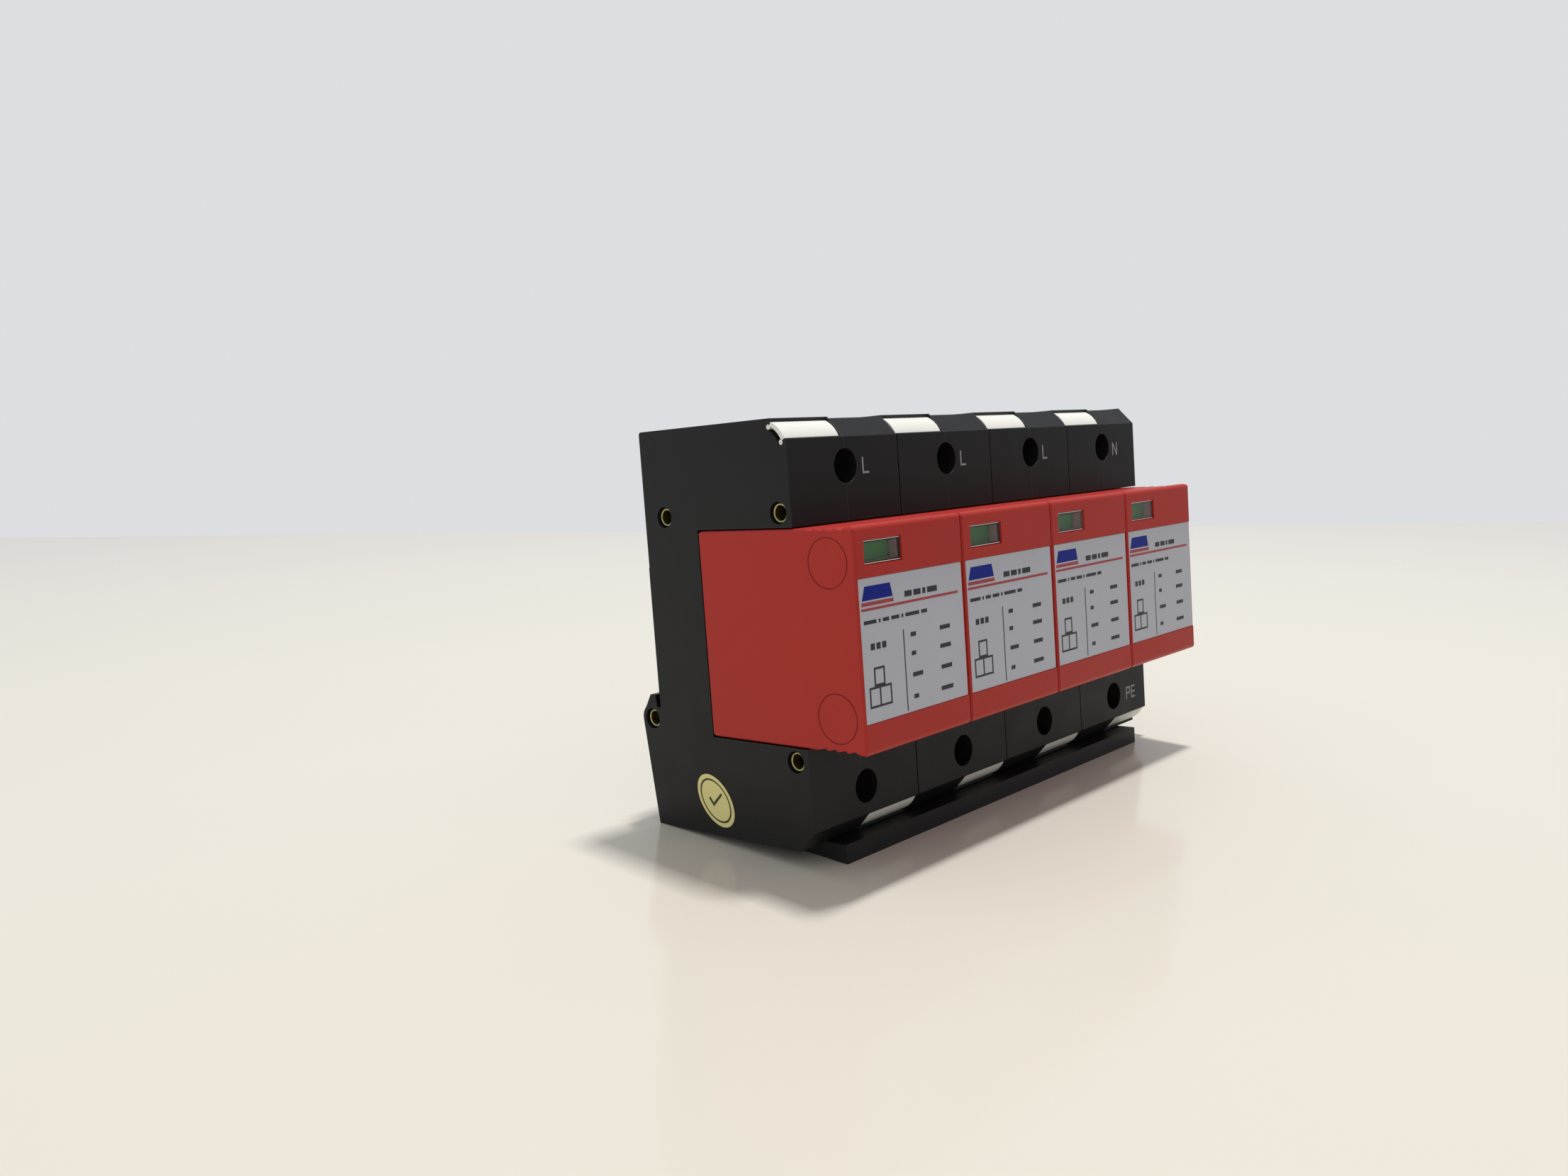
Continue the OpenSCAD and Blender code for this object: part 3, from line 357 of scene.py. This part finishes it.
for k in POLES:
    cap = clear_cap(*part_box(f"status_window_{k}"))
    rows, columns = cap.shape[:2]
    ends = np.arange(columns) + np.array([[0], [(rows - 1) * columns]])
    faces = grid_faces(rows, columns, False).tolist() + [ends[0].tolist(), ends[1, ::-1].tolist()]
    made = piece(f"window_cap_{k}", cap, faces, clear_polycarbonate, f"cartridge_{k}", smooth=False)
    made.data.materials.append(polycarbonate_painted_pink)
    band = np.arange(len(faces)) // columns
    rough = np.isin(band, (OUTER_WALL, INNER_WALL)).astype(np.int32)
    made.data.polygons.foreach_set("material_index", rough)
    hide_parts(f"status_window_{k}")

# Labels
# A pale grey polyester film lies in the shallow recess of each front plate. It is screen printed
# with a blue field, red rules, and rows of plain black bars and boxes.
RECESS, FILM, GLUE, INK = 0.35 * MM, 0.2 * MM, 0.005 * MM, 0.02 * MM
CORNER_STEPS = 7
BOX_STROKE, BAR_HEIGHT = 0.45, 0.9
LEFT_COLUMN, RIGHT_COLUMN = -1.5, 12.1
FACE = ((1, 0, 0), (0, 0, 1))
label_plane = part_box("cartridge_case_1")[0].y + RECESS


def lay(local, origin, across, up):
    """Points (a, b, h) laid on a face: origin + a across + b up + h (across x up)."""
    return np.array(origin) + local @ np.array([across, up, np.cross(across, up)], float)


def prisms(outlines, low, high, origin, across, up):
    """Flat shapes of film or ink: each outline of (a, b) points is carried straight from height
    low to height high over the face, with a cap on both ends."""
    count, n = outlines.shape[:2]
    height = np.broadcast_to(np.array([low, high])[None, :, None, None], (count, 2, n, 1))
    flat = np.broadcast_to(outlines[:, None], (count, 2, n, 2))
    starts = np.arange(count)[:, None] * 2 * n
    i = np.arange(n)
    after = np.roll(i, -1)
    walls = (np.stack([i, after, after + n, i + n], -1) + starts[..., None]).reshape(-1, 4)
    caps = np.concatenate([starts + i[::-1], starts + i + n])
    return lay(np.concatenate([flat, height], -1), origin, across, up), walls.tolist() + caps.tolist()


def rounded_field(a0, a1, b0, b1, r):
    """Outline of a rectangle in mm with corner radius r: a quarter circle at each corner in turn,
    counter-clockwise."""
    t = np.linspace(0, np.pi / 2, CORNER_STEPS)[None, :] + np.arange(4)[:, None] * np.pi / 2
    corners = np.array([[a1 - r, b1 - r], [a0 + r, b1 - r], [a0 + r, b0 + r], [a1 - r, b0 + r]])
    return ((corners[:, None] + r * np.stack([np.cos(t), np.sin(t)], -1)) * MM).reshape(1, -1, 2)


def bars(rows):
    """Rectangles given as rows of a0, a1, b0, b1 in mm, as outlines of four points."""
    a0, a1, b0, b1 = np.array(rows, float).T * MM
    return np.stack([a0, b0, a1, b0, a1, b1, a0, b1], -1).reshape(-1, 4, 2)


def box_bars(a0, a1, b0, b1):
    """The four bars of a box outline, in mm."""
    low, high = b0 + BOX_STROKE, b1 - BOX_STROKE
    return [[a0, a1, high, b1], [a0, a1, b0, low],
            [a0, a0 + BOX_STROKE, low, high], [a1 - BOX_STROKE, a1, low, high]]


def line_bars(a0, b0, height, widths, gap):
    """A line of bars of these widths in mm, a gap apart: each starts where the last one ends."""
    start = a0 + np.concatenate([[0], np.cumsum(np.array(widths) + gap)[:-1]])
    return [[a, a + w, b0, b0 + height] for a, w in zip(start, widths)]


# The film is smooth and faintly mottled over 2 mm. The inks lie on it as thin, even, satin coats.
grey_film = satin("grey polyester film", "#b9bac4", "#c0c1ca", gloss=0.32, grain=2, relief=0.004)
blue_ink = satin("blue screen ink", "#0c2086", "#11258c", gloss=0.35, grain=2, relief=0.004, sheen=0.15)
red_ink = satin("red screen ink", "#a7484d", "#ad4d52", gloss=0.35, grain=2, relief=0.004, sheen=0.15)
black_ink = satin("black screen ink", "#2a2a31", "#303037", gloss=0.35, grain=2, relief=0.004)
# The layout is in mm from the middle of the front plate.
label_outline = rounded_field(-17.1, 17.2, -16.45, 12.3, 0.4)
blue_field = np.array([[[-16.2, 7.9], [-6.5, 7.9], [-7.2, 10.7], [-15.2, 10.7]]]) * MM
red_rules = bars([[-16.4, -6.3, 6.8, 7.55], [-16.6, 15.6, 5.85, 6.38]])
black_rows = [[-3.95, -3.63, -16.0, 0.7]]
black_rows += line_bars(-2.7, 7.2, 1.2, [2.4, 2.4, 1.0, 3.4], gap=0.6)
black_rows += line_bars(-16.0, 3.2, 0.75, [3.9, 0.6, 2.0, 2.6, 0.6, 4.6, 2.0], gap=0.7)
black_rows += line_bars(-14.4, -2.0, 1.3, [1.3, 1.3, 1.3], gap=0.5)
black_rows += box_bars(-13.9, -10.5, -9.3, -5.5)
black_rows += box_bars(-15.6, -8.6, -13.5, -9.3)
black_rows += [[-12.45, -12.45 + BOX_STROKE, -13.5 + BOX_STROKE, -9.3 - BOX_STROKE]]
for level, short, wide in ((-1.1, 1.8, 3.6), (-5.0, 1.5, 3.8), (-9.4, 3.4, 3.8), (-13.9, 1.6, 4.2)):
    black_rows += [[LEFT_COLUMN, LEFT_COLUMN + short, level, level + BAR_HEIGHT],
                   [RIGHT_COLUMN - wide, RIGHT_COLUMN, level, level + BAR_HEIGHT]]
prints = {"blue": (blue_field, blue_ink), "red": (red_rules, red_ink),
          "black": (bars(black_rows), black_ink)}
for k in POLES:
    middle = (pole_x(k), label_plane, 0)
    film = prisms(label_outline, GLUE, FILM, middle, *FACE)
    piece(f"label_{k}", *film, grey_film, f"cartridge_{k}", smooth=False)
    for colour, (shapes, ink) in prints.items():
        coat = prisms(shapes, FILM - INK, FILM + INK, middle, *FACE)
        piece(f"label_{colour}_{k}", *coat, ink, f"cartridge_{k}", smooth=False)

# Terminal letters
# Pad-printed in grey beside the screw holes, in strokes of 0.45 mm: L three times and N above,
# PE below the last pole.
STROKE, SLANT_STROKE = 0.45, 0.8
TALL, WIDE, MIDDLE, LETTER_STEP = 3.5, 2.2, 1.5, 2.9
stem = [0, STROKE, 0, TALL]
head = [STROKE, WIDE, TALL - STROKE, TALL]
waist = [STROKE, WIDE, MIDDLE, MIDDLE + STROKE]
foot_bar = [STROKE, WIDE, 0, STROKE]
bow = [WIDE - STROKE, WIDE, MIDDLE + STROKE, TALL - STROKE]
slant = np.array([[[STROKE, TALL - SLANT_STROKE], [WIDE, 0], [WIDE, SLANT_STROKE], [STROKE, TALL]]]) * MM
letters = {"L": bars([stem, foot_bar]), "E": bars([stem, head, foot_bar, waist]),
           "P": bars([stem, head, waist, bow]),
           "N": np.concatenate([bars([stem, [WIDE, WIDE + STROKE, 0, TALL]]), slant])}
terminal_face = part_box("base_shell_left_1")[0].y

# The pad leaves a thin coat, so the black shows through and greys it. Each row gives the pole, the
# letters, and where they start, in mm from the pole's middle and from the origin's height.
grey_ink = satin("grey pad ink", "#9a9aa4", "#a1a1ab", gloss=0.4, grain=2, relief=0.004)
for k, word, left, foot in ((1, "L", 5.5, 32.5), (2, "L", 5.5, 32.5), (3, "L", 5.5, 32.5),
                            (4, "N", 5.5, 32.0), (4, "PE", 7.0, -36.7)):
    strokes = np.concatenate([letters[c] + (LETTER_STEP * MM * i, 0) for i, c in enumerate(word)])
    origin = (pole_x(k) + left * MM, terminal_face, foot * MM)
    piece(f"letter_{word}_{k}", *prisms(strokes, -INK, INK, origin, *FACE), grey_ink, "base", smooth=False)

# Inspection sticker
# A small oval paper sticker on the outer side of the first pole, pale yellow, printed with a thin
# dark ring and a tick.
STICKER_LONG, STICKER_SHORT, PAPER = 6.67 * MM, 4.52 * MM, 0.08 * MM
STICKER_TURN = math.radians(-46.7)
RING_OUTER, RING_INNER = 0.84, 0.77
OVAL_STEPS = 72
sticker_at = (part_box("base_shell_left_1")[0].x, -16.32 * MM, -37.14 * MM)
long_way = (0, -math.cos(STICKER_TURN), math.sin(STICKER_TURN))
short_way = (0, math.sin(STICKER_TURN), math.cos(STICKER_TURN))
SIDE = ((0, -1, 0), (0, 0, 1))
turn = np.linspace(0, 2 * np.pi, OVAL_STEPS, endpoint=False)
oval = np.stack([STICKER_LONG * np.cos(turn), STICKER_SHORT * np.sin(turn)], -1)
tick = np.array([[[-2.1, 0.3], [-0.7, -1.4], [-0.7, -0.5], [-1.7, 0.75]],
                 [[-0.7, -1.4], [2.2, 1.5], [1.8, 1.9], [-0.7, -0.5]]]) * MM


def oval_band(outer, inner, low, high):
    """A flat ring: a rectangular section between two shares of the oval, carried once round it."""
    share = np.array([outer, outer, inner, inner])[None, :, None]
    height = np.broadcast_to(np.array([high, low, low, high])[None, :, None], (len(oval), 4, 1))
    return np.concatenate([oval[:, None] * share, height], -1)


# Uncoated paper is matt and a little uneven, and the ink sinks into it.
yellow_paper = satin("pale yellow paper", "#e8dd92", "#eee49c", gloss=0.5, grain=2, patch=3, relief=0.004)
olive_ink = satin("dark olive ink", "#42402a", "#48462f", gloss=0.5, grain=2, relief=0.004)
paper = prisms(oval[None], 0.0, PAPER, sticker_at, long_way, short_way)
band = lay(oval_band(RING_OUTER, RING_INNER, PAPER - INK, PAPER + INK), sticker_at, long_way, short_way)
piece("sticker_paper", *paper, yellow_paper, "base", smooth=False)
piece("sticker_ring", band, grid_faces(*band.shape[:2], True).tolist(), olive_ink, "base", smooth=False)
piece("sticker_tick", *prisms(tick, PAPER - INK, PAPER + INK, sticker_at, *SIDE), olive_ink, "base",
      smooth=False)

# Table and light
# The row stands on a pale lacquered table. It leans back on the comb channel's front edge and the
# hook feet, so the level table is tilted by that angle in the row's frame.
TABLE_NEAR, TABLE_FAR, TABLE_HALF = -0.55, 0.62, 0.85
TABLE_TURN = math.radians(46.4)
HOOK_FOOT = 3.3 * MM
channel_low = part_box("comb_channel")[0]
channel_edge = np.array([channel_low.y, channel_low.z])
rear_foot = np.array([HOOK_FOOT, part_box("base_shell_left_1")[0].z])
run = (rear_foot - channel_edge) / np.linalg.norm(rear_foot - channel_edge)
away = np.array([math.sin(TABLE_TURN), math.cos(TABLE_TURN)])
beside = np.array([away[1], -away[0]])
corners = np.array([[TABLE_NEAR, -TABLE_HALF], [TABLE_NEAR, TABLE_HALF],
                    [TABLE_FAR, TABLE_HALF], [TABLE_FAR, -TABLE_HALF]])
level = corners[:, :1] * away + corners[:, 1:] * beside
table_points = np.concatenate([level[:, :1], channel_edge + level[:, 1:] * run], -1)
table_mesh = bpy.data.meshes.new("table")
table_mesh.from_pydata(table_points.tolist(), [], [[0, 1, 2, 3]])
table = bpy.data.objects.new("table", table_mesh)
bpy.context.collection.objects.link(table)

# Smooth lacquer: the row stands over a faint, slightly blurred reflection of itself.
pale_lacquer = new_finish("pale lacquered board")
lacquer_skin = node(pale_lacquer, "BsdfPrincipled", {"Base Color": linear("#dcd6c8"), "Roughness": 0.14,
                                                     "Specular IOR Level": 0.2})
node(pale_lacquer, "OutputMaterial", {"Surface": (lacquer_skin, "BSDF")})
table_mesh.materials.append(pale_lacquer)

# The room is plain pale grey. Its walls behind the row and to the left of it are lit, the rest is
# dimmer, and a ceiling panel adds the soft shadow. Each wall is given by the way to its middle.
LEFT_WALL, BACK_WALL = (-0.72, 0.69, 0.0), (0.72, 0.69, 0.0)
DIM_LEVEL, LIT_LEVEL = 0.38, 0.84
BACK_STARTS, BACK_FULL = 0.3, 0.75
studio = bpy.data.worlds.new("studio")
bpy.context.scene.world = studio
studio.use_nodes = True
studio.node_tree.nodes.clear()
direction = node(studio, "TexCoord")
to_left = node(studio, "VectorMath", {0: (direction, "Generated"), 1: LEFT_WALL}, operation="DOT_PRODUCT")
to_back = node(studio, "VectorMath", {0: (direction, "Generated"), 1: BACK_WALL}, operation="DOT_PRODUCT")
left_glow = node(studio, "MapRange", {"Value": (to_left, "Value"), "From Min": -1.0, "From Max": 1.0,
                                      "To Min": DIM_LEVEL, "To Max": LIT_LEVEL})
back_glow = node(studio, "MapRange", {"Value": (to_back, "Value"),
                                      "From Min": BACK_STARTS, "From Max": BACK_FULL,
                                      "To Min": DIM_LEVEL, "To Max": LIT_LEVEL})
glow = node(studio, "Math", {0: (left_glow, "Result"), 1: (back_glow, "Result")}, operation="MAXIMUM")
room = node(studio, "Background", {"Color": linear("#eef0f4"), "Strength": (glow, "Value")})
node(studio, "OutputWorld", {"Surface": (room, "Background")})
lamp = bpy.data.lights.new("ceiling_panel", "AREA")
lamp.size = 0.12
lamp.energy = 14
panel = bpy.data.objects.new("ceiling_panel", lamp)
bpy.context.collection.objects.link(panel)
panel.location = (0.22, -0.1, 1.3)
panel.rotation_euler = (math.radians(4), math.radians(10), 0)

# Camera
# It stands where the photograph was taken from. Its place, its three turns and its lens come from
# a fit of the standard sizes to the photograph.
EYE = (-255.65 * MM, -216.66 * MM, 34.56 * MM)
TURNS = (84.58, 4.063, -46.791)
FOCAL_LENGTH, PHOTO_WIDTH, SENSOR = 1765.65, 2212, 36
lens = bpy.data.cameras.new("camera")
lens.sensor_width = SENSOR
lens.lens = FOCAL_LENGTH / PHOTO_WIDTH * SENSOR
lens.clip_start = 0.01
camera = bpy.data.objects.new("camera", lens)
bpy.context.collection.objects.link(camera)
camera.location = EYE
camera.rotation_euler = [math.radians(angle) for angle in TURNS]
bpy.context.scene.camera = camera
bpy.context.scene.view_settings.view_transform = "Standard"
